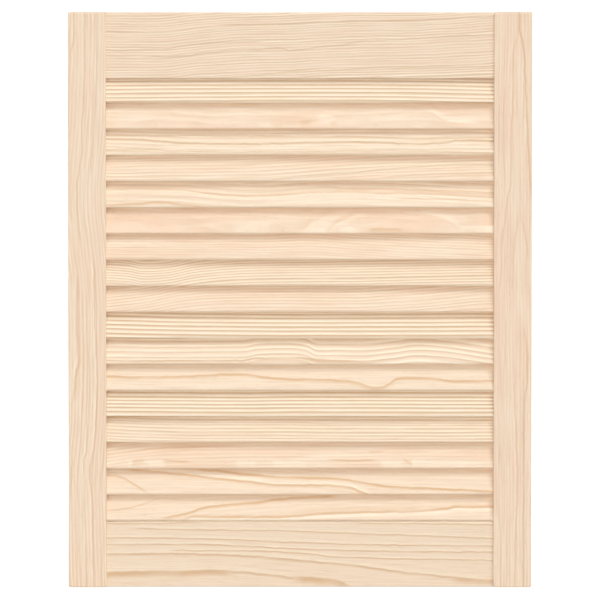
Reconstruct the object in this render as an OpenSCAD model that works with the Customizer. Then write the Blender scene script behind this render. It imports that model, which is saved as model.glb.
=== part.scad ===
// Louvred cabinet door in solid wood: two stiles, two rails and fixed slats.
// The front faces -Y and the back +Y. The origin is the middle of the bottom edge.

/* [Door] */
// Height of the door
door_h = 615; // [400:1:900]
// Width of the door
door_w = 494; // [300:1:700]
// Thickness of the stiles, which is that of the whole door
door_t = 21; // [18:0.5:28]

/* [Stiles and rails] */
// Width of each stile
stile_w = 40.5; // [32:0.5:60]
// Height of the top rail
rail_top_h = 70; // [50:1:110]
// Height of the bottom rail
rail_bottom_h = 70; // [50:1:110]
// Thickness of the rails, centred in the stiles
rail_t = 12; // [9:0.5:18]
// Rounding along the stiles' four long edges
stile_round = 1.5; // [0.5:0.25:3]
// Rounding round the stiles' two ends
stile_end_round = 0.8; // [0.4:0.1:1.5]
// Rounding along the rails' four long edges
rail_round = 0.8; // [0.4:0.1:2]

/* [Slats] */
// Width of a slat, from its lower to its upper edge
slat_w = 32; // [26:0.5:38]
// Thickness of a slat
slat_t = 5; // [4:0.25:7]
// Rounding along a slat's long edges
slat_round = 2; // [0.5:0.25:2.5]
// Tilt of the slats from upright, with the upper edge towards the back
slat_tilt = 20; // [15:1:30]
// Wanted distance from one slat to the next, which is evened out over the space
slat_pitch = 28; // [22:0.5:32]
// Gap between the lowest slat and the bottom rail
slat_foot_gap = 0.5; // [0.3:0.1:2]
// How much nearer the top rail is to the first slat than a whole pitch
slat_head_lap = 1.5; // [0:0.25:4]

/* [Housings] */
// Depth of the housings in the stiles that hold the slats' ends
housing_depth = 8; // [5:0.5:12]
// Play round a slat in its housing and in the top rail's rebate
housing_play = 0.1; // [0.05:0.05:0.3]
// Space left beyond a slat's end in its housing
housing_end_play = 0.5; // [0.2:0.1:1.5]

/* [Dowels] */
// Diameter of a dowel
dowel_d = 6; // [5:0.5:8]
// Length of a dowel, half in the stile and half in the rail
dowel_l = 40; // [24:1:50]
// Chamfer at a dowel's ends
dowel_chamfer = 0.8; // [0.3:0.1:1.5]
// Distance from a rail's edges to the middle of its dowels
dowel_inset = 18; // [14:0.5:19]
// Play round a dowel in its hole
dowel_play = 0.05; // [0.02:0.01:0.1]
// Space left beyond a dowel's end in its hole
dowel_end_play = 1; // [0.5:0.25:2]

/* [Hidden] */
curve_steps = 48;
pine_frame = [0.94, 0.85, 0.75];
pine_slat = [0.98, 0.89, 0.77];
beech = [0.80, 0.63, 0.45];

opening_w = door_w - 2 * stile_w;
stile_mid_x = (opening_w + stile_w) / 2;

// The slats share out the space between the rails
louvre_h = door_h - rail_top_h - rail_bottom_h + slat_head_lap - slat_foot_gap;
slat_count = max(1, round(louvre_h / slat_pitch));
slat_step = louvre_h / slat_count;
slat_r = min(slat_round, 0.45 * slat_t);
slat_rise = (slat_w - 2 * slat_r) * cos(slat_tilt) + (slat_t - 2 * slat_r) * sin(slat_tilt) + 2 * slat_r;
slat_length = opening_w + 2 * (housing_depth - housing_end_play);

// Slats are numbered from the top down
function slat_z(n) = rail_bottom_h + slat_foot_gap + (slat_count - n) * slat_step + slat_rise / 2;
function slat_name(n) = str("slat_", n < 10 ? "0" : "", n);

// Each dowel is a name, the side that it is on and the height of its middle
dowels = [
    for (side = [["left", -1], ["right", 1]], height = [
        ["top", "upper", door_h - dowel_inset],
        ["top", "lower", door_h - rail_top_h + dowel_inset],
        ["bottom", "upper", rail_bottom_h - dowel_inset],
        ["bottom", "lower", dowel_inset]
    ]) [str("dowel_", height[0], "_", side[0], "_", height[1]), side[1], height[2]]
];

// A rectangle with true arcs at its corners
module rounded_rect(w, h, r) {
    square([w - 2 * r, h], center = true);
    square([w, h - 2 * r], center = true);
    for (x = [-1, 1], y = [-1, 1])
        translate([x * (w / 2 - r), y * (h / 2 - r)]) circle(r, $fn = curve_steps);
}

// Extrudes a profile drawn in Y and Z along X, centred on X = 0
module along_x(length) {
    rotate([90, 0, 90]) linear_extrude(length, center = true) children();
}

// Extrudes a profile drawn in X and Z along Y, centred on Y = 0
module along_y(length) {
    rotate([90, 0, 0]) linear_extrude(length, center = true) children();
}

// The shape of slat n, grown all round by play where it cuts its seat
module slat_shape(n, length, play = 0) {
    translate([0, 0, slat_z(n)])
        along_x(length)
            rotate(-slat_tilt)
                rounded_rect(slat_t + 2 * play, slat_w + 2 * play, slat_r + play);
}

// The seats of the slats' ends in both stiles, and of the first slat in the top rail
module slat_seat(n) {
    slat_shape(n, opening_w + 2 * housing_depth, housing_play);
}

// The holes for a dowel, in the stile and in the rail
module dowel_hole(d) {
    translate([d[1] * opening_w / 2, 0, d[2]])
        rotate([0, 90, 0])
            cylinder(h = dowel_l + 2 * dowel_end_play, r = dowel_d / 2 + dowel_play,
                     center = true, $fn = curve_steps);
}

// A stile, eased along its edges and round its ends. side is -1 on the left and 1 on the right
module stile(side) {
    color(pine_frame) difference() {
        translate([side * stile_mid_x, 0, door_h / 2]) intersection() {
            linear_extrude(door_h, center = true) rounded_rect(stile_w, door_t, stile_round);
            along_x(stile_w + 2) rounded_rect(door_t, door_h, stile_end_round);
            along_y(door_t + 2) rounded_rect(stile_w, door_h, stile_end_round);
        }
        for (n = [1:slat_count]) slat_seat(n);
        for (d = dowels) if (d[1] == side) dowel_hole(d);
    }
}

// A rail between the stiles, before anything is cut from it
module rail(height, bottom_z) {
    translate([0, 0, bottom_z + height / 2])
        along_x(opening_w) rounded_rect(rail_t, height, rail_round);
}

// The top rail, rebated along its lower back edge for the first slat's upper edge
module rail_top() {
    color(pine_frame) difference() {
        rail(rail_top_h, door_h - rail_top_h);
        slat_seat(1);
        for (d = dowels) dowel_hole(d);
    }
}

module rail_bottom() {
    color(pine_frame) difference() {
        rail(rail_bottom_h, 0);
        for (d = dowels) dowel_hole(d);
    }
}

module slat(n) {
    color(pine_slat) slat_shape(n, slat_length);
}

// A turned dowel with a chamfer at each end
module dowel(d) {
    r = dowel_d / 2;
    half = dowel_l / 2;
    color(beech) translate([d[1] * opening_w / 2, 0, d[2]])
        rotate([0, 90, 0])
            rotate_extrude($fn = curve_steps)
                polygon([
                    [0, -half], [r - dowel_chamfer, -half], [r, dowel_chamfer - half],
                    [r, half - dowel_chamfer], [r - dowel_chamfer, half], [0, half]
                ]);
}

stile(-1);  // stile_left
stile(1);  // stile_right
rail_top();
rail_bottom();
for (n = [1:slat_count]) slat(n);
for (d = dowels) dowel(d);
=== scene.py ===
"""Looks for a louvred cabinet door in bare, sanded pine, on a pale floor in soft studio light."""

import math

import bpy
from mathutils import Euler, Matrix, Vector


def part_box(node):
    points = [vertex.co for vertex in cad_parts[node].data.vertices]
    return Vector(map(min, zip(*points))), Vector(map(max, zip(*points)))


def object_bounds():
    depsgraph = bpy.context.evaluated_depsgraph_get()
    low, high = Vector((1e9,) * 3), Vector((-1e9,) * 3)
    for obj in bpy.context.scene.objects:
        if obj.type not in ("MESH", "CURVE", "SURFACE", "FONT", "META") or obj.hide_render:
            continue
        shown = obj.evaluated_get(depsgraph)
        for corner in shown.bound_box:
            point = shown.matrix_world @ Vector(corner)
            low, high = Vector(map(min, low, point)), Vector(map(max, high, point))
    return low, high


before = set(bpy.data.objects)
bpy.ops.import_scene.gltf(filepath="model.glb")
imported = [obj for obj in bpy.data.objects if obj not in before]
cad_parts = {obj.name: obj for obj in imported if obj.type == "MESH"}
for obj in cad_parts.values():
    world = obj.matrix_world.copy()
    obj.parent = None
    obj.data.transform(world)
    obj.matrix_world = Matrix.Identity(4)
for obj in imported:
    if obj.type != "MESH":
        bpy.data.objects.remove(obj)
cad_low, cad_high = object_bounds()

MM = 0.001
SLAT_TILT = math.radians(20)
# The most that a line of grain may run along and across a board, in millimetres
PATH_LENGTH = 640
PATH_HEIGHT = 100

# The camera stands far off, slightly above the door, so that its sides stay upright and parallel
LENS = 600
SENSOR = 36
CAMERA_RISE = math.radians(6)
# The farthest that the camera sees, in metres
FARTHEST = 100
PHOTO_WIDTH = 600
DOOR_WIDTH_IN_PHOTO = 463.2

# The main light is neutral. What fills the shadows is a little warmer
NEUTRAL = (0.98, 1.0, 0.99)
WARM = (1.0, 0.935, 0.92)
# Each light: where it comes from, seen from the door, its strength, how wide it looks and its colour
LIGHTS = {
    "key_light": ((0.466, -1.0, 1.2), 1.54, math.radians(32), NEUTRAL),
    "front_light": ((-0.08, -1.0, 0.1), 1.14, math.radians(40), WARM),
    "top_light": ((0.0, 0.2, 1.0), 0.45, math.radians(40), NEUTRAL),
    "left_light": ((-1.0, 0.0, 0.25), 0.55, math.radians(40), WARM),
    "right_light": ((1.0, 0.0, 0.25), 0.40, math.radians(40), WARM),
    "back_light": ((-0.5, 1.0, 0.3), 1.7, math.radians(40), NEUTRAL),
}
FILL_STRENGTH = 0.25
FLOOR_COLOUR = (0.62, 0.615, 0.61, 1)
FLOOR_ROUGHNESS = 0.9
FLOOR_SHINE = 0.1
# How much the floor is lifted to white where it is seen, its size in metres and its gap in millimetres
FLOOR_LIFT = 0.58
FLOOR_SIZE = 80
FLOOR_GAP = 0.2

# The wood's colours, as amounts of light. The slats' pale and pink are painted a little lighter than the
# frame's, standing in for light on the slats and in the shade between them
CREAM_PINE = (0.998, 0.892, 0.722, 1)
PALE_PINE = (0.890, 0.745, 0.583, 1)
PINK_PINE = (0.870, 0.655, 0.500, 1)
DARK_PINE = (0.640, 0.450, 0.270, 1)
RESIN_PINE = (0.710, 0.465, 0.255, 1)
LIGHTENED_PALE_PINE = (0.908, 0.760, 0.595, 1)
LIGHTENED_PINK_PINE = (0.885, 0.660, 0.492, 1)
END_GRAIN = (0.93, 0.89, 0.84, 1)
LIGHT_BEECH = (0.640, 0.440, 0.270, 1)
PALE_BEECH = (0.620, 0.420, 0.250, 1)
PINK_BEECH = (0.590, 0.380, 0.220, 1)
DARK_BEECH = (0.430, 0.250, 0.130, 1)

# The grain's long and short waves. Their heights are in wave heights of the board. Their sizes are along
# the board, in its wave lengths, from board to board, and across the board, in millimetres
LONG_WAVE_HEIGHT = 2.0
LONG_WAVE_SIZES = (1, 1, 45)
SHORT_WAVE_HEIGHT = 0.7
SHORT_WAVE_SIZES = (0.27, 1, 14)
# How far apart the waves of two boards lie in the same noise
WAVE_STEP = 7.3

# How far a year's line strays, in years, the years that one stray takes, and the part of a year after
# which the line ends
YEAR_STRAY = 0.6
YEAR_STRAY_SIZES = (1, 1, 2.6)
LATE_WOOD_END = 0.84
# A year's line fades over stretches of this length, and the step keeps one year's from the next one's
YEAR_FADING_SIZES = (60, 1, 10)
YEAR_STEP = 37.0

# How far a strong line strays from its path, in millimetres, and the sizes of its strays and paler stretches
STRAY = 1.2
STRAY_SIZES = (16, 9, 1)
FADING_SIZES = (45, 30, 1)
# How far apart the seeds of one board's strong lines are, which is more than there are boards
LINE_STEP = 31

# The sizes of the wood's marks along, through and across the board, in millimetres, and how dark they are
FIBRE_SIZES = (40, 1.1, 1.1)
FIBRE_DARKNESS = 0.27
DUCT_SIZES = (9, 0.9, 0.9)
DUCT_DARKNESS = 0.2
TONE_SIZES = (90, 40, 9)
# How far the marks are moved from one board to the next, in millimetres
BOARD_STEPS = (173.0, 41.0, 67.0)

# The sanded surface: its least roughness and how much the fibres add, its shine and its relief in millimetres
ROUGHNESS = 0.52
FIBRE_ROUGHNESS = 0.2
SHINE = 0.35
RELIEF_DEPTH = 0.15
RELIEF_STRENGTH = 0.25


def figure(rings=3.0, pith=(-90, 35), run=((-209, 0), (209, 0)), waves=(0.8, 180), line=3.0,
           strength=0.9, first=0.0, uneven=0.75, veins=(), orange=1.0, pinkness=0.4):
    """How one board's grain runs. Lengths are in millimetres along and across the board.

    rings is the width of a year's ring. pith is where the tree's middle lies, across the board from
    its middle and behind its face. run is the path of one fibre: points along and across the board.
    waves are the height and length of the grain's small waves. line makes the dark lines narrower,
    strength makes them darker, and first is where one of them lies. uneven is how much the lines
    differ. veins are the strong dark lines, and orange is how much resin colours them. pinkness is
    how much of the wood is of the pinker kind.
    """
    return {
        "rings": rings, "pith": pith, "run": run, "waves": waves, "line": line, "strength": strength,
        "first": first, "uneven": uneven, "veins": veins, "orange": orange, "pinkness": pinkness,
    }


def vein(path, width=1.6, strength=0.8, light=0.0, fade=20):
    """One strong dark line of resinous late wood, by points along and across the board.

    It is soft below and sharp above, or the other way round with a width below zero. light is how
    pale the wood is beside its sharp edge, and fade is how long its ends are.
    """
    return {"path": path, "width": width, "strength": strength, "light": light, "fade": fade}


def patch(path, width, light, fade=20):
    """A patch of pale wood above a path, or below it with a width below zero."""
    return vein(path, width, 0.0, light, fade)


FIGURES = {
    "stile_left": figure(
        3.4, (-100, 28), waves=(1.1, 120), line=2.4, strength=0.5, uneven=1.0, orange=0.6, pinkness=0.7,
        run=((-307, 1), (-240, 2), (-187, 3), (-116, -2), (-45, -3), (15, -1), (62, 4), (110, 8), (132, 7),
             (168, 3.5), (220, 1), (307, 0)),
        veins=[
            vein(((133, -3), (158, -5), (189, -7.5), (224, -9.2), (251, -10.7), (320, -10.7)), 1.2, 0.5),
            vein(((57, 7.7), (85, 10), (108, 10.7), (124, 10.7), (135, 9.3), (158, 5.7), (189, 5.3),
                  (214, 3.2), (320, 1.8)), 1.4, 0.5, 0.3),
            vein(((262, 18.5), (287, 13.4), (320, 13.4)), 1.6, 0.5, 0.3),
            vein(((-111, 15.7), (-77, 11.6), (-64, 9.3), (-50, 9.8), (-29, 10.7), (30, 10.5)), 2.4, 0.6, 0.6),
            vein(((-320, -6.4), (-246, -5.3), (-219, -5.3), (-186, -2.1), (-157, -7.1), (-121, -9.3),
                  (-82, -10.7), (-32, -8.5), (46, -7)), 1.5, 0.5, 0.7),
            vein(((-320, -14.8), (-260, -13.9)), 1.3, 0.4),
            vein(((-320, 1.6), (-255, 2.7)), 1.3, 0.4, 0.4),
            vein(((-193, 4.5), (-175, 4.5), (-157, 0.9), (-121, 0.9), (-75, 0), (10, 0.9)), 1.2, 0.45, 0.5),
            vein(((-219, 11.6), (-186, 11), (-157, 8), (-96, 5.3), (-59, 4.1), (10, 5.3)), 1.2, 0.45, 0.5),
            vein(((-207, -13.4), (-193, -13.9), (-175, -16), (-148, -18.7)), 1.3, 0.45),
            vein(((-215, 18.3), (-193, 17.5), (-165, 16)), 1.3, 0.5),
        ],
    ),
    "stile_right": figure(
        2.4, (-45, 34), waves=(0.9, 150), line=3, strength=0.35, uneven=0.95, orange=0.8, pinkness=0.8,
        veins=[
            vein(((111, -18.8), (185, -15), (224, -13.2), (260, -11.4), (278, -9.8), (286, -7), (293, -5.8),
                  (320, -5.8)), 1.4, 0.75),
            vein(((46, -16), (71, -13), (82, -10.7), (89, -8)), 1.2, 0.4, fade=8),
            vein(((12, 1.4), (28, -0.2), (46, -0.7), (64, -1.8), (76, -3.4), (91, -5)), 1.2, 0.4, fade=8),
            vein(((60, 12), (79, 9.7), (111, 5.4), (132, 2.6), (168, 2.6), (205, 1), (240, 0.4), (262, 0.3),
                  (280, -2)), 1.3, 0.5, 0.3),
            vein(((120, 8), (145, 9.5), (160, 10.9), (190, 10.9), (225, 9.5)), 1.2, 0.45),
            vein(((150, 15.2), (215, 15)), 1.2, 0.4),
            vein(((10, 15), (30, 13), (60, 13), (80, 12)), 1.2, 0.45, 0.3),
            vein(((-70, 8.2), (-15, 7.8)), 1.2, 0.4, 0.5),
            vein(((-320, -11.7), (-116, -11.7), (-98, -13.5), (-80, -15.3), (-52, -14.5), (-28, -11.7)),
                 1.5, 0.6, fade=10),
            vein(((-320, -1.8), (-246, -3.6), (-185, -5.4), (-157, -4.2), (-121, -2.6), (-85, -0.8)),
                 1.3, 0.5, 0.3),
            vein(((-178, 14.3), (-150, 14.3), (-120, 14)), 1.2, 0.45, 0.4),
            vein(((-320, 13), (-270, 12.7), (-245, 13), (-222, 14.5)), 1.3, 0.5, 0.4),
        ],
    ),
    "rail_top": figure(
        2.7, (-150, 50), waves=(1.0, 90), line=2.4, strength=1.0, uneven=0.9, orange=0.1, pinkness=0.6,
        run=((-207, -8), (-150, -7.5), (-100, -3), (-40, 0), (0, 1), (60, 3.5), (130, 5), (207, 9)),
        veins=[
            vein(((-225, -4.7), (-146, -3.7), (-128, -0.5), (-95, 2.5), (-40, 4.5)), 1.1, 0.55),
            vein(((-172, -12), (-127, -11), (-100, -7.5), (-52, -4), (-20, -2.7), (-9, -4.8), (23, -1),
                  (60, 2)), 1.2, 0.6, 0.3),
            vein(((-90, 22.5), (-20, 23), (34, 25), (87, 27), (225, 31.5)), 1.0, 0.42, 0.2),
            vein(((40, 4), (100, 6.5), (141, 9.3), (190, 11.5), (225, 10.5)), 1.0, 0.5, 0.3),
            vein(((-62, -32), (20, -26.5), (128, -23.5), (225, -21.5)), 1.1, 0.5),
        ],
    ),
    "rail_bottom": figure(
        2.4, (-150, 30), waves=(0.5, 160), line=2.5, strength=0.15, first=3.5, orange=0.6, pinkness=0.0,
        run=((-209, 0), (-110, 0), (-20, -3), (60, -6), (209, -8)),
        veins=[
            vein(((-225, 32.7), (-160, 33.2), (-105, 34)), 1.0, 0.8),
            vein(((60, 33.5), (140, 32.8), (225, 31.5)), 1.0, 0.8, 0.6),
            vein(((-178, 27.7), (-90, 26), (-20, 25.2), (34, 23.2), (60, 22.3), (225, 16.5)), 1.1, 0.75, 0.5),
            vein(((-225, 18), (-100, 16.5), (-20, 13.4), (60, 10.6), (225, 8.7)), 1.1, 0.85, 0.6),
            vein(((-225, 10.8), (-100, 10.5), (-20, 6.5), (34, 4.4), (225, 2)), 1.1, 0.85, 0.6),
            vein(((-140, 4.2), (-20, 2.5), (7, 0.7), (34, -2.5), (60, -3.6), (225, -7.1)), 1.1, 0.85, 0.6),
            vein(((-225, -0.2), (-140, 0.4), (-73, -1.2), (-20, -5), (34, -9.8), (60, -12.5), (114, -20),
                  (168, -25.3), (195, -28)), 1.8, 0.8, 0.5),
            vein(((-225, -21.8), (-154, -19.7), (-127, -20.2), (-100, -18.6), (-70, -19.4)), 4.2, 0.85, 0.3),
            vein(((-100, -18.6), (-73, -19.2), (-46, -21), (-20, -24.2), (0, -26.5)), 1.9, 0.8, 0.5),
            vein(((-8, -25.5), (20, -27.5), (34, -29), (45, -32), (56, -37)), 4.8, 0.85),
            vein(((158, -25.5), (185, -28), (225, -29.5)), 3.6, 0.8),
        ],
    ),
    "slat_01": figure(
        4.3, (-130, 20), waves=(0.4, 200), line=2.9, strength=1.6, first=0.5, uneven=0.35, pinkness=0.5,
        run=((-209, -1.2), (0, 0), (100, -0.6), (209, -2.4)),
    ),
    "slat_02": figure(
        2.6, (-20, 45), waves=(1.2, 120), line=2.5, strength=0.25, pinkness=1.0,
        veins=[
            vein(((-1, -9.5), (13, -8)), 4.5, 0.4, fade=6),
            patch(((14, 1), (27, 4), (40, 0)), -6.0, 0.8, fade=14),
            vein(((31, -10), (40, -9)), 3.5, 0.35, fade=5),
            vein(((128, 3), (141, 0), (150, -6), (159, -9.7), (190, -13)), 2.8, 0.08, 0.8),
        ],
    ),
    "slat_03": figure(
        4.5, (-120, 20), waves=(0.5, 150), line=3, strength=0.8, first=-8, uneven=0.6, orange=0.15,
        pinkness=0.2,
        run=((-209, 2), (-129, -1.5), (-59, -2.5), (58, -1), (138, -1.8), (168, -0.6), (209, -0.8)),
        veins=[
            vein(((-225, 1.8), (-177, 1.2), (-129, -2.6), (-102, -3.8), (-59, -4), (18, -2.6), (58, -1.8),
                  (138, -3.8), (157, -2.3), (168, 0.2), (225, -0.9)), 1.5, 0.9, 0.8),
            vein(((-225, -10.3), (-177, -9.7), (-129, -11.7), (-59, -13.2), (58, -12), (138, -12.6),
                  (225, -14.6)), 1.3, 0.6, 0.7),
            vein(((-225, 5.9), (-49, 4.8), (58, 3.9), (138, 1.7), (157, 2.5), (225, 3.1)), 1.4, 0.6, 0.6),
            patch(((-150, -3.5), (0, -3), (225, -3)), -2.8, 0.8),
        ],
    ),
    "slat_04": figure(
        3.0, (-70, 26), waves=(0.8, 140), line=2.5, strength=0.75, orange=0.1, pinkness=0.8,
        run=((-209, -2), (-100, -1.5), (-35, 0), (58, 7), (209, 12)),
        veins=[
            vein(((-38, -14.6), (5, -10.3), (45, -7.5), (85, -3.5), (138, 0.5), (225, 2.5)), 1.2, 0.6, 0.5),
            vein(((85, -11.7), (140, -8.5), (225, -6)), 1.2, 0.5, 0.5),
        ],
    ),
    "slat_05": figure(
        4.5, (-50, 40), waves=(0.8, 120), line=3, strength=0.7, first=-2,
        run=((-209, 2), (-130, 1), (-75, -3), (-45, -4), (30, -1), (110, -3), (209, -8)),
        veins=[
            vein(((-225, 4.5), (-129, 3.4), (-89, -1.8), (-49, -3.2), (-22, -2.3), (18, 0.5), (45, 1),
                  (85, -0.3), (139, -1.8), (225, -6.5)), -1.7, 0.55, 0.9),
            vein(((-225, -13.7), (-177, -12.6), (-150, -10.3), (-129, -12.6), (-100, -15.5)), 1.8, 0.8),
            vein(((32, 5.4), (110, 4), (225, -0.5)), 1.2, 0.6, 0.6),
            vein(((100, -6), (150, -7), (225, -10.5)), 1.2, 0.5, 0.6),
            patch(((-40, -5), (60, -3), (225, -9)), -3.0, 0.9),
        ],
    ),
    "slat_06": figure(
        2.6, (-14, 45), waves=(1.2, 110), line=2.5, strength=0.2, pinkness=1.0,
        veins=[
            vein(((-7, -13), (5, -8), (13, -1), (26, 5), (42, 8)), -6.0, 0.3, 0.4),
            vein(((31, -14), (32, -10), (38, -4), (48, 1), (60, 6)), -4.0, 0.4, 0.5),
            patch(((8, -7), (29, -8)), -3.5, 1.0, fade=5),
            patch(((40, -8), (50, -6.5), (62, -9)), -3.5, 0.9, fade=12),
            vein(((73, -12), (90, -11.2), (109, -12)), 2.6, 0.6, fade=8),
            vein(((120, 5), (146, 0.5), (160, -5), (173, -15)), 3.5, 0.12, 0.6),
            patch(((168, -5), (225, -5)), -4.0, 0.8, fade=10),
        ],
    ),
    "slat_07": figure(
        2.6, (-60, 30), waves=(0.8, 110), line=2.5, strength=0.6, pinkness=0.9,
        run=((-209, 0), (-60, 0), (5, 1), (60, -2), (110, -5), (209, -9)),
    ),
    "slat_08": figure(
        2.8, (-80, 26), waves=(0.5, 130), line=2.2, strength=1.3, uneven=0.55, pinkness=0.5,
        run=((-209, 0), (-183, -1.5), (-165, -4.5), (-145, -3.5), (-110, 3), (-70, 6.5), (-20, 8), (58, 9),
             (209, 12)),
    ),
    "slat_09": figure(
        2.8, (-60, 30), waves=(0.8, 120), line=2.5, strength=0.8, pinkness=0.8,
        run=((-209, -8), (-165, -3), (-110, 6), (-50, 8), (40, 8), (110, 11), (209, 19)),
    ),
    "slat_10": figure(
        4.4, (-130, 20), waves=(0.4, 200), line=2.9, strength=1.85, first=1.0, uneven=0.35, pinkness=0.4,
        run=((-209, 3), (-115, 1), (20, 0), (209, 0.8)),
    ),
    "slat_11": figure(
        5.9, (-90, 30), waves=(0.5, 100), line=4, strength=1.15, first=-6.5, uneven=0.6, orange=0.3,
        run=((-209, 0), (-62, 0), (-43, 3), (-10, 3.5), (5, 2), (22, -4), (60, -4), (100, -1), (125, 1.5),
             (150, 0), (209, -8)),
        veins=[
            vein(((-225, -12.3), (-65, -12.5), (-43, -9.5), (-6, -9.5), (7, -10.5), (26, -12.5), (58, -12.6)),
                 1.6, 0.85, 0.9),
            vein(((-4, -9), (14, -10.8), (34, -12.5)), 3.0, 0.7),
        ],
    ),
    "slat_12": figure(
        3.4, (-60, 40), waves=(0.8, 140), line=3, strength=0.15, pinkness=0.0,
        veins=[
            vein(((-225, 0.5), (-169, -1.8), (-129, -1.2), (-97, 0.2), (-75, 1.7), (-59, 1.1), (-38, -1.8),
                  (-22, -3.5), (18, -4.6), (45, -5.5), (61, -7.5), (72, -12), (81, -13.2), (93, -10.3),
                  (109, -2.6), (125, -2.6), (152, -4.6), (171, -6.3), (225, -5.5)), 2.2, 0.9),
            vein(((25, -5.5), (45, -6.2), (61, -8.5), (72, -12.5), (81, -13.8), (93, -10.8), (105, -4.5)),
                 2.8, 0.6),
        ],
    ),
    "slat_13": figure(
        4.4, (-130, 20), waves=(0.4, 200), line=3.1, strength=2.1, first=2.2, uneven=0.35, pinkness=0.0,
        run=((-209, 1), (-60, 0), (0, 0.6), (209, 0)),
    ),
    "slat_14": figure(
        3.4, (-110, 22), waves=(0.5, 140), line=2.2, strength=1.05, uneven=0.7, pinkness=0.5,
        run=((-209, 3.5), (-130, 0.5), (0, 0), (209, -0.5)),
    ),
    "slat_15": figure(
        3.0, (-50, 34), waves=(0.8, 110), line=2.5, strength=0.45, pinkness=1.0,
        run=((-209, -5), (-160, 1), (-110, 3.5), (209, 4)),
        veins=[
            vein(((-225, -3.5), (-177, 2.5), (-145, 6), (-100, 8)), 1.3, 0.5),
            patch(((-184, -5), (-179, -5)), -4.5, 1.0, fade=3),
            vein(((-179, -8), (-166, -7.5)), 4.0, 0.5, fade=4),
            patch(((-163, -4.5), (-143, -5)), -4.5, 1.0, fade=5),
            vein(((-147, -7.5), (-118, -8.5)), 1.6, 0.7, fade=6),
            patch(((-69, -4.5), (-47, -5)), -4.5, 0.9, fade=5),
            patch(((-30, -5), (8, -6)), -4.5, 0.8, fade=6),
            vein(((32, -6.5), (58, -7.2), (82, -7)), 1.6, 0.75, fade=12),
            vein(((73, 2), (90, 2.5)), 1.6, 0.5, fade=6),
            patch(((85, -6), (110, -6.5)), -4.0, 0.8, fade=6),
            vein(((110, -6), (116, -9), (120, -12)), 2.5, 0.45, fade=4),
            patch(((119, -4.5), (225, -5)), -4.5, 0.8, fade=4),
        ],
    ),
    "slat_16": figure(
        4.4, (-60, 40), waves=(0.7, 120), line=4, strength=0.25, pinkness=0.3,
        run=((-209, 6), (-100, 4), (0, 0), (60, -6), (209, -8)),
        veins=[
            vein(((-225, 7.6), (-193, 3.4), (-177, -5.2), (-161, -15.1)), 2.0, 0.8),
            vein(((-188, 11.9), (-129, 6.2), (-81, 0.5), (-49, -2.9), (-22, -5.8), (18, -5.8), (48, -7.5),
                  (66, -13.7), (76, -17)), 2.0, 0.85, 0.9),
            vein(((-129, 12.5), (-94, 10.5), (-59, 6.2), (-22, 2.8), (18, 1.9), (45, 0.5), (72, -3.8),
                  (98, -7.5), (139, -9.5), (225, -13.7)), 2.0, 0.95),
        ],
    ),
    "slat_17": figure(
        4.4, (-60, 40), waves=(0.7, 120), line=4, strength=0.2, pinkness=0.2,
        run=((-209, -8), (-100, -2), (0, 4), (209, 9)),
        veins=[
            vein(((-225, -7), (-182, -2), (-161, 4.5), (-150, 8.8)), 1.3, 0.6),
            vein(((-150, -14), (-121, -8.3), (-102, -2), (-81, 0.8), (-49, 3.1), (-27, 6.5), (5, 9.3),
                  (40, 11.8)), 2.1, 0.9),
            vein(((-126, -15.5), (-107, -11.7), (-89, -12.6), (-49, -12.6), (-8, -11.7), (26, -8.9),
                  (72, -7.2), (125, -6), (152, -4), (171, -1.5), (225, -1.8)), -2.1, 0.85, 1.0),
            vein(((-10, -9), (26, -6.8), (72, -5), (130, -3.5)), -4.5, 0.3),
        ],
    ),
}


def feed(tree, socket, value):
    """Gives an input a plain value, or links it to the output that feeds it."""
    if isinstance(value, bpy.types.NodeSocket):
        tree.links.new(value, socket)
    else:
        socket.default_value = value


def add_node(tree, kind, settings=None, inputs=None):
    """Adds a node. Each input is a plain value or the output that feeds it."""
    made = tree.nodes.new(kind)
    for name, value in (settings or {}).items():
        setattr(made, name, value)
    for name, value in (inputs or {}).items():
        feed(tree, made.inputs[name], value)
    return made


def sums(tree, operation, a, b=0.0, c=0.0):
    """The result of one sum on numbers."""
    return add_node(tree, "ShaderNodeMath", {"operation": operation}, {0: a, 1: b, 2: c}).outputs[0]


def between(tree, value, low, high, to_low=0.0, to_high=1.0):
    """Turns a value from low to high into one from to_low to to_high, with soft ends."""
    made = add_node(
        tree, "ShaderNodeMapRange", {"interpolation_type": "SMOOTHSTEP"},
        {"Value": value, "From Min": low, "From Max": high, "To Min": to_low, "To Max": to_high},
    )
    return made.outputs["Result"]


def joined(tree, x, y, z):
    """Three numbers as one place."""
    return add_node(tree, "ShaderNodeCombineXYZ", None, {"X": x, "Y": y, "Z": z}).outputs["Vector"]


def wavering(tree, value, most):
    """Turns noise from 0 to 1 into a value from -most to most."""
    return sums(tree, "MULTIPLY_ADD", value, 2 * most, -most)


def noise(tree, place, sizes, detail=2.0):
    """Smooth noise from 0 to 1, with features of the given sizes along, through and across the board."""
    shrunk = add_node(
        tree, "ShaderNodeVectorMath", {"operation": "MULTIPLY"}, {0: place, 1: [1 / size for size in sizes]}
    )
    inputs = {"Vector": shrunk.outputs["Vector"], "Scale": 1.0, "Detail": detail, "Roughness": 0.55}
    return add_node(tree, "ShaderNodeTexNoise", None, inputs).outputs["Fac"]


def mixed(tree, amount, first, second, blend="MIX"):
    """Two colours mixed by amount."""
    made = add_node(tree, "ShaderNodeMix", {"data_type": "RGBA", "blend_type": blend})
    # The mix node has sockets for each kind of value. Those of a colour are inputs 6 and 7 and output 2
    feed(tree, made.inputs[0], amount)
    feed(tree, made.inputs[6], first)
    feed(tree, made.inputs[7], second)
    return made.outputs[2]


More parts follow.
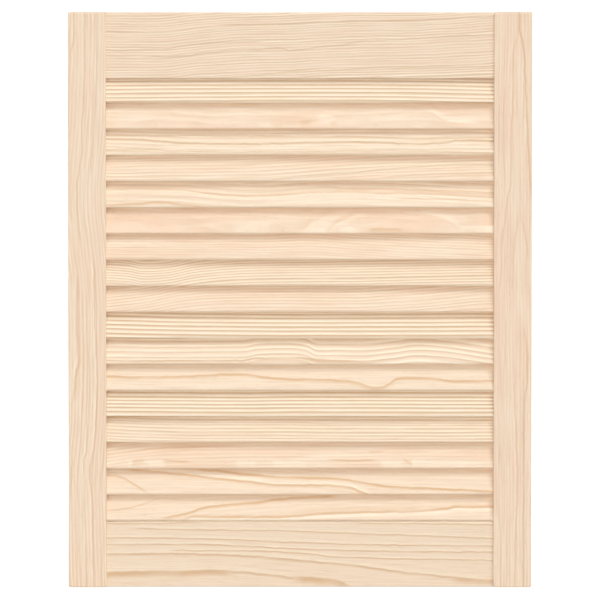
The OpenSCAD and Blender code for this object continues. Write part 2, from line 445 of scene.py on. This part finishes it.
def new_group(name, inputs, outputs):
    """An empty node group with named sockets, and its input and output nodes."""
    tree = bpy.data.node_groups.new(name, "ShaderNodeTree")
    for socket, kind in inputs.items():
        tree.interface.new_socket(socket, in_out="INPUT", socket_type="NodeSocket" + kind)
    for socket, kind in outputs.items():
        tree.interface.new_socket(socket, in_out="OUTPUT", socket_type="NodeSocket" + kind)
    return tree, tree.nodes.new("NodeGroupInput").outputs, tree.nodes.new("NodeGroupOutput").inputs


def length(tree, a, b):
    """The length of the long side of a right triangle."""
    return sums(tree, "SQRT", sums(tree, "MULTIPLY_ADD", a, a, sums(tree, "MULTIPLY", b, b)))


def make_tree_rings():
    """How far a place is from the tree's middle, in millimetres, with the grain's run and waves.

    It is counted from the board's own middle, so on a board with straight grain it is the place
    across the board.
    """
    inputs = {"Place": "Vector", "Run": "Float", "Seed": "Float", "Pith Across": "Float",
              "Pith Behind": "Float", "Wave Height": "Float", "Wave Length": "Float"}
    tree, given, put = new_group("tree rings", inputs, {"Grain": "Vector"})
    place = add_node(tree, "ShaderNodeSeparateXYZ", None, {"Vector": given["Place"]}).outputs
    board = sums(tree, "MULTIPLY", given["Seed"], WAVE_STEP)
    lengths = sums(tree, "DIVIDE", place["X"], given["Wave Length"])
    spread = joined(tree, lengths, board, place["Z"])
    long_wave = wavering(tree, noise(tree, spread, LONG_WAVE_SIZES, 1), LONG_WAVE_HEIGHT)
    short_wave = wavering(tree, noise(tree, spread, SHORT_WAVE_SIZES, 2), SHORT_WAVE_HEIGHT)
    wave = sums(tree, "ADD", long_wave, short_wave)
    across = sums(tree, "SUBTRACT", sums(tree, "SUBTRACT", place["Z"], given["Run"]), given["Pith Across"])
    behind = sums(tree, "SUBTRACT", given["Pith Behind"], place["Y"])
    far = length(tree, across, behind)
    start = length(tree, given["Pith Across"], given["Pith Behind"])
    ring = sums(tree, "MULTIPLY_ADD", wave, given["Wave Height"], sums(tree, "SUBTRACT", far, start))
    tree.links.new(joined(tree, place["X"], place["Y"], ring), put["Grain"])
    return tree


def make_strong_line():
    """A strong dark line along the board: soft on the side of the early wood and sharp on the other."""
    inputs = {"Place": "Vector", "Middle": "Float", "From": "Float", "To": "Float", "Width": "Float",
              "Strength": "Float", "Light": "Float", "Fade": "Float", "Seed": "Float"}
    tree, given, put = new_group("strong line", inputs, {"Dark": "Float", "Light": "Float"})
    place = add_node(tree, "ShaderNodeSeparateXYZ", None, {"Vector": given["Place"]}).outputs
    spread = joined(tree, place["X"], given["Middle"], given["Seed"])
    stray = wavering(tree, noise(tree, spread, STRAY_SIZES, 2), STRAY)

    # Across the board, how far away the line is, in widths of the line
    away = sums(tree, "ADD", sums(tree, "SUBTRACT", place["Z"], given["Middle"]), stray)
    away = sums(tree, "DIVIDE", away, given["Width"])
    dark = sums(tree, "MULTIPLY", between(tree, away, -1.6, 0.0), between(tree, away, 0.2, 0.7, 1.0, 0.0))
    light = sums(tree, "MULTIPLY", between(tree, away, 0.3, 0.9), between(tree, away, 1.0, 3.6, 1.0, 0.0))

    # Along the board, where the line is, with soft ends and paler stretches
    into = sums(tree, "SUBTRACT", place["X"], given["From"])
    left = sums(tree, "SUBTRACT", given["To"], place["X"])
    out = sums(tree, "MULTIPLY", given["Fade"], -0.3)
    full = sums(tree, "MULTIPLY", given["Fade"], 0.7)
    here = sums(tree, "MULTIPLY", between(tree, into, out, full), between(tree, left, out, full))
    fading = between(tree, noise(tree, spread, FADING_SIZES, 2), 0.3, 0.6, 0.6, 1.0)
    here = sums(tree, "MULTIPLY", here, fading)

    dark = sums(tree, "MULTIPLY", dark, sums(tree, "MULTIPLY", here, given["Strength"]))
    light = sums(tree, "MULTIPLY", light, sums(tree, "MULTIPLY", here, given["Light"]))
    tree.links.new(dark, put["Dark"])
    tree.links.new(light, put["Light"])
    return tree


def make_sanded_wood():
    """The colour, roughness and relief of sanded softwood, from its grain."""
    inputs = {"Grain": "Vector", "Veins": "Float", "Light": "Float", "Seed": "Float", "Ring Width": "Float",
              "First Line": "Float", "Line": "Float", "Strength": "Float", "Uneven": "Float",
              "Orange": "Float", "Pinkness": "Float", "End": "Float", "Cream": "Color", "Pale": "Color",
              "Pink": "Color", "Dark": "Color", "Resin": "Color"}
    outputs = {"Color": "Color", "Roughness": "Float", "Height": "Float"}
    tree, given, put = new_group("sanded wood", inputs, outputs)
    # Each board has its marks in other places, so that no two boards are alike
    shift = joined(tree, *(sums(tree, "MULTIPLY", given["Seed"], step) for step in BOARD_STEPS))
    moved = add_node(tree, "ShaderNodeVectorMath", {"operation": "ADD"}, {0: given["Grain"], 1: shift})
    grain = moved.outputs["Vector"]
    parts = add_node(tree, "ShaderNodeSeparateXYZ", None, {"Vector": given["Grain"]}).outputs

    # Each year's ring darkens towards its late wood, and ends sharply
    years = sums(tree, "DIVIDE", sums(tree, "SUBTRACT", parts["Z"], given["First Line"]), given["Ring Width"])
    uneven = noise(tree, joined(tree, given["Seed"], 0.5, years), YEAR_STRAY_SIZES, 1)
    years = sums(tree, "ADD", years, wavering(tree, uneven, YEAR_STRAY))
    part = sums(tree, "FRACT", years)
    late = sums(tree, "POWER", part, given["Line"])
    late = sums(tree, "MULTIPLY", late, between(tree, part, LATE_WOOD_END, 1.0, 1.0, 0.0))
    year = sums(tree, "ADD", sums(tree, "FLOOR", years), given["Seed"])
    chance = add_node(tree, "ShaderNodeTexWhiteNoise", {"noise_dimensions": "1D"}, {"W": year})
    own_place = joined(tree, parts["X"], 0.0, sums(tree, "MULTIPLY", year, YEAR_STEP))
    fading = noise(tree, own_place, YEAR_FADING_SIZES, 3)
    weak = sums(tree, "MAXIMUM", between(tree, fading, 0.32, 0.6, 1.0, 0.0), chance.outputs["Value"])
    strength = sums(tree, "SUBTRACT", 1.15, sums(tree, "MULTIPLY", weak, given["Uneven"]))
    strength = sums(tree, "MULTIPLY", strength, given["Strength"])
    late = sums(tree, "MINIMUM", sums(tree, "MULTIPLY", late, strength), 1.0)
    early = sums(tree, "MULTIPLY", between(tree, part, 0.1, 0.6, 1.0, 0.0), between(tree, part, 0.0, 0.06))
    early = sums(tree, "MULTIPLY", early, strength)
    early = sums(tree, "MINIMUM", sums(tree, "MAXIMUM", early, given["Light"]), 1.0)

    # Fibres, short resin ducts and slow changes of tone
    fibres = noise(tree, grain, FIBRE_SIZES, 4)
    ducts = between(tree, noise(tree, grain, DUCT_SIZES, 1), 0.62, 0.76)
    tone = noise(tree, grain, TONE_SIZES, 3)
    pink = sums(tree, "MULTIPLY", between(tree, tone, 0.3, 0.7), given["Pinkness"])
    color = mixed(tree, pink, given["Pale"], given["Pink"])
    color = mixed(tree, early, color, given["Cream"])
    color = mixed(tree, between(tree, fibres, 0.38, 0.72, 0.0, FIBRE_DARKNESS), color, given["Dark"])
    color = mixed(tree, late, color, given["Dark"])
    color = mixed(tree, sums(tree, "MULTIPLY", ducts, DUCT_DARKNESS), color, given["Dark"])
    color = mixed(tree, given["Veins"], color, mixed(tree, given["Orange"], given["Dark"], given["Resin"]))
    color = mixed(tree, given["End"], color, mixed(tree, 1.0, color, END_GRAIN, "MULTIPLY"))
    tree.links.new(color, put["Color"])

    tree.links.new(sums(tree, "MULTIPLY_ADD", fibres, FIBRE_ROUGHNESS, ROUGHNESS), put["Roughness"])
    # The relief leaves the strong lines out. With them, a board with more than twelve would render black
    tree.links.new(sums(tree, "MULTIPLY_ADD", fibres, 0.5, sums(tree, "MULTIPLY", late, 0.6)), put["Height"])
    return tree


tree_rings = make_tree_rings()
strong_line = make_strong_line()
sanded_wood = make_sanded_wood()


def add_group(tree, group, inputs):
    """Places a node group in a material."""
    made = tree.nodes.new("ShaderNodeGroup")
    made.node_tree = group
    for name, value in inputs.items():
        feed(tree, made.inputs[name], value)
    return made.outputs


def add_path(tree, along, points):
    """The place across the board, in millimetres, of a smooth line through points along the board."""
    share = sums(tree, "MULTIPLY_ADD", along, 1 / PATH_LENGTH, 0.5)
    curve = add_node(tree, "ShaderNodeFloatCurve", None, {"Value": share})
    curve.mapping.extend = "HORIZONTAL"
    line = curve.mapping.curves[0]
    for _ in range(len(points) - 2):
        line.points.new(0.5, 0.5)
    for point, (x, z) in zip(line.points, points):
        point.location = (x / PATH_LENGTH + 0.5, z / PATH_HEIGHT + 0.5)
        point.handle_type = "AUTO_CLAMPED"
    curve.mapping.update()
    return sums(tree, "MULTIPLY_ADD", curve.outputs["Value"], PATH_HEIGHT, -PATH_HEIGHT / 2)


def add_veins(tree, place, along, veins, seed):
    """Where the strong dark lines are, and where the wood beside them is pale."""
    dark, light = 0.0, 0.0
    for number, line in enumerate(veins):
        inputs = {
            "Place": place, "Middle": add_path(tree, along, line["path"]), "From": line["path"][0][0],
            "To": line["path"][-1][0], "Width": line["width"], "Strength": line["strength"],
            "Light": line["light"], "Fade": line["fade"], "Seed": seed + LINE_STEP * number,
        }
        made = add_group(tree, strong_line, inputs)
        dark = sums(tree, "MAXIMUM", made["Dark"], dark)
        light = sums(tree, "MAXIMUM", made["Light"], light)
    return dark, light


def add_end_mask(tree, normal, turn):
    """1 where the surface is cut across the grain, as at a board's ends, and 0 along the grain."""
    grain_way = Euler(turn).to_matrix() @ Vector((1, 0, 0))
    facing = add_node(tree, "ShaderNodeVectorMath", {"operation": "DOT_PRODUCT"}, {0: normal, 1: grain_way})
    return between(tree, sums(tree, "ABSOLUTE", facing.outputs["Value"]), 0.5, 0.9)


def make_board(name, centre, turn, look, colours, seed):
    """The material of one board, with its grain running along it from its own middle."""
    material = bpy.data.materials.new(name)
    material.use_nodes = True
    tree = material.node_tree
    shader = tree.nodes["Principled BSDF"]
    shader.inputs["Specular IOR Level"].default_value = SHINE
    coordinates = tree.nodes.new("ShaderNodeTexCoord").outputs
    mapping = add_node(
        tree, "ShaderNodeMapping", {"vector_type": "TEXTURE"},
        {"Vector": coordinates["Object"], "Location": centre, "Rotation": turn, "Scale": (MM, MM, MM)},
    )
    place = mapping.outputs["Vector"]
    along = add_node(tree, "ShaderNodeSeparateXYZ", None, {"Vector": place}).outputs["X"]
    rings = {
        "Place": place, "Run": add_path(tree, along, look["run"]), "Seed": seed,
        "Pith Across": look["pith"][0], "Pith Behind": look["pith"][1],
        "Wave Height": look["waves"][0], "Wave Length": look["waves"][1],
    }
    cream, pale, pink, dark, resin = colours
    veins, light = add_veins(tree, place, along, look["veins"], seed)
    wood = {
        "Grain": add_group(tree, tree_rings, rings)["Grain"], "Veins": veins, "Light": light, "Seed": seed,
        "Ring Width": look["rings"], "First Line": look["first"], "Line": look["line"],
        "Strength": look["strength"], "Uneven": look["uneven"], "Orange": look["orange"],
        "Pinkness": look["pinkness"], "End": add_end_mask(tree, coordinates["Normal"], turn),
        "Cream": cream, "Pale": pale, "Pink": pink, "Dark": dark, "Resin": resin,
    }
    surface = add_group(tree, sanded_wood, wood)
    relief = add_node(
        tree, "ShaderNodeBump", None,
        {"Strength": RELIEF_STRENGTH, "Distance": RELIEF_DEPTH * MM, "Height": surface["Height"]},
    )
    tree.links.new(surface["Color"], shader.inputs["Base Color"])
    tree.links.new(surface["Roughness"], shader.inputs["Roughness"])
    tree.links.new(relief.outputs["Normal"], shader.inputs["Normal"])
    return material


PINE = (CREAM_PINE, PALE_PINE, PINK_PINE, DARK_PINE, RESIN_PINE)
# The slats' pine, painted a little lighter to stand in for light on them and in their shade
LIGHTENED_SLAT_PINE = (CREAM_PINE, LIGHTENED_PALE_PINE, LIGHTENED_PINK_PINE, DARK_PINE, RESIN_PINE)
BEECH = (LIGHT_BEECH, PALE_BEECH, PINK_BEECH, DARK_BEECH, DARK_BEECH)
DOWEL_FIGURE = figure(1.3, (-60, 10), waves=(0.1, 60), line=1.5, strength=0.5)


def board_turn(name):
    """How a board is turned from lying along X with its face to the front."""
    if name.startswith("slat"):
        return (-SLAT_TILT, 0, 0)
    if name.startswith("stile"):
        return (0, -math.pi / 2, 0)
    return (0, 0, 0)


def finish_nodes():
    """Gives every piece of the door its own wood."""
    for seed, (name, piece) in enumerate(sorted(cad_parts.items())):
        low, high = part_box(name)
        centre = (low + high) / 2
        if name in FIGURES:
            # The slats take the pine painted a little lighter, which stands in for light on them and in the
            # shade between them
            colours = LIGHTENED_SLAT_PINE if name.startswith("slat") else PINE
            material = make_board(f"pine_{name}", centre, board_turn(name), FIGURES[name], colours, seed + 1)
        else:
            material = make_board(f"beech_{name}", centre, board_turn(name), DOWEL_FIGURE, BEECH, seed + 1)
        for material_slot in piece.material_slots:
            material_slot.material = material


def add_seen_mask(tree):
    """1 for what the camera sees, also in a reflection or through glass, and 0 for light on other things."""
    ray = tree.nodes.new("ShaderNodeLightPath").outputs
    seen = sums(tree, "MAXIMUM", ray["Is Camera Ray"], ray["Is Glossy Ray"])
    return sums(tree, "MAXIMUM", seen, ray["Is Transmission Ray"])


def make_floor():
    """A wide pale floor that the camera sees as white, apart from the door's shadow."""
    bpy.ops.object.select_all(action="DESELECT")
    bpy.ops.mesh.primitive_plane_add(size=FLOOR_SIZE, location=(0, 0, -FLOOR_GAP * MM))
    floor = bpy.context.object
    floor.name = "floor"
    material = bpy.data.materials.new("pale_floor")
    material.use_nodes = True
    tree = material.node_tree
    shader = tree.nodes["Principled BSDF"]
    shader.inputs["Base Color"].default_value = FLOOR_COLOUR
    shader.inputs["Roughness"].default_value = FLOOR_ROUGHNESS
    shader.inputs["Specular IOR Level"].default_value = FLOOR_SHINE
    shader.inputs["Emission Color"].default_value = (1, 1, 1, 1)
    lift = sums(tree, "MULTIPLY", add_seen_mask(tree), FLOOR_LIFT)
    tree.links.new(lift, shader.inputs["Emission Strength"])
    floor.data.materials.append(material)


def make_world():
    """White behind the door, and a soft fill light from all round."""
    world = bpy.data.worlds.new("studio")
    bpy.context.scene.world = world
    world.use_nodes = True
    tree = world.node_tree
    fill = tree.nodes["Background"]
    fill.inputs["Color"].default_value = (*WARM, 1)
    fill.inputs["Strength"].default_value = FILL_STRENGTH
    white = add_node(tree, "ShaderNodeBackground", None, {"Color": (1, 1, 1, 1), "Strength": 1.0})
    inputs = {0: add_seen_mask(tree), 1: fill.outputs[0], 2: white.outputs[0]}
    mix = add_node(tree, "ShaderNodeMixShader", None, inputs)
    tree.links.new(mix.outputs[0], tree.nodes["World Output"].inputs["Surface"])


def make_light(name, comes_from, strength, width, colour):
    """A broad soft light from far away."""
    data = bpy.data.lights.new(name, "SUN")
    data.energy = strength
    data.angle = width
    data.color = colour
    light = bpy.data.objects.new(name, data)
    light.rotation_euler = Vector(comes_from).to_track_quat("Z", "Y").to_euler()
    bpy.context.scene.collection.objects.link(light)


def make_camera():
    """A long lens that looks straight at the door's front from slightly above."""
    middle = (cad_low + cad_high) / 2
    door_width = cad_high.x - cad_low.x
    seen_width = door_width * PHOTO_WIDTH / DOOR_WIDTH_IN_PHOTO
    distance = seen_width * LENS / SENSOR
    towards_camera = Vector((0, -math.cos(CAMERA_RISE), math.sin(CAMERA_RISE)))
    data = bpy.data.cameras.new("camera")
    data.lens = LENS
    data.sensor_width = SENSOR
    data.clip_end = FARTHEST
    camera = bpy.data.objects.new("camera", data)
    camera.location = middle + towards_camera * distance
    camera.rotation_euler = towards_camera.to_track_quat("Z", "Y").to_euler()
    bpy.context.scene.collection.objects.link(camera)
    bpy.context.scene.camera = camera


make_camera()
finish_nodes()
make_floor()
make_world()
for light_name, values in LIGHTS.items():
    make_light(light_name, *values)
bpy.context.scene.view_settings.view_transform = "Standard"
